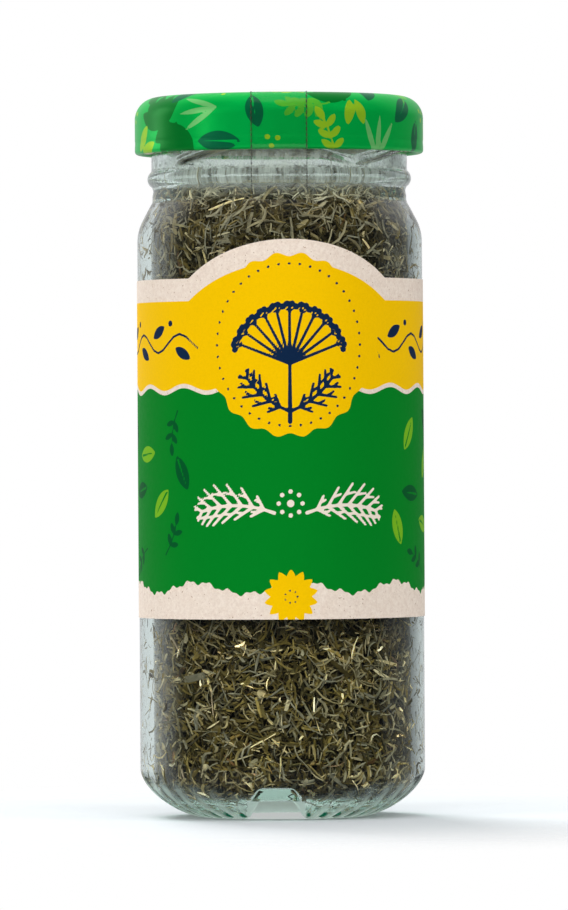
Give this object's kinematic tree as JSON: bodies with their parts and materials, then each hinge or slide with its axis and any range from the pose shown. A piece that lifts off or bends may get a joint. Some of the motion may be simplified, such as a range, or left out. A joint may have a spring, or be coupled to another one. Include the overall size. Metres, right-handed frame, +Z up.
{
  "type": "jar of dried dill",
  "caption": "Round clear glass spice jar filled with chopped dried dill, closed by a green metal twist-off lid with a clear seal strip, with a wrap-round paper label.",
  "frame": {"origin": "middle of the base, on the surface that the jar stands on", "axes": "+Z up along the jar's axis, -Y the front, with the label's arch, the seal strip and the notch in the foot"},
  "size_m": [0.0466, 0.0468, 0.1163],
  "materials": {
    "clear_glass": "clear pressed soda glass with a faint green edge",
    "lid_print": "green leaf print under clear lacquer on tinplate",
    "liner": "soft pale sealing compound",
    "clear_film": "thin clear glossy film",
    "label_paper": "uncoated cream paper with fibres, printed in yellow and green",
    "dried_herb": "dry matt chopped leaf and stalk, olive to straw"
  },
  "bodies": {
    "root": {"glass_jar": "clear_glass", "twist_lid": "lid_print", "lid_liner": "liner", "seal_strip": "clear_film", "paper_label": "label_paper", "dried_dill": "dried_herb"}
  },
  "joints": []
}
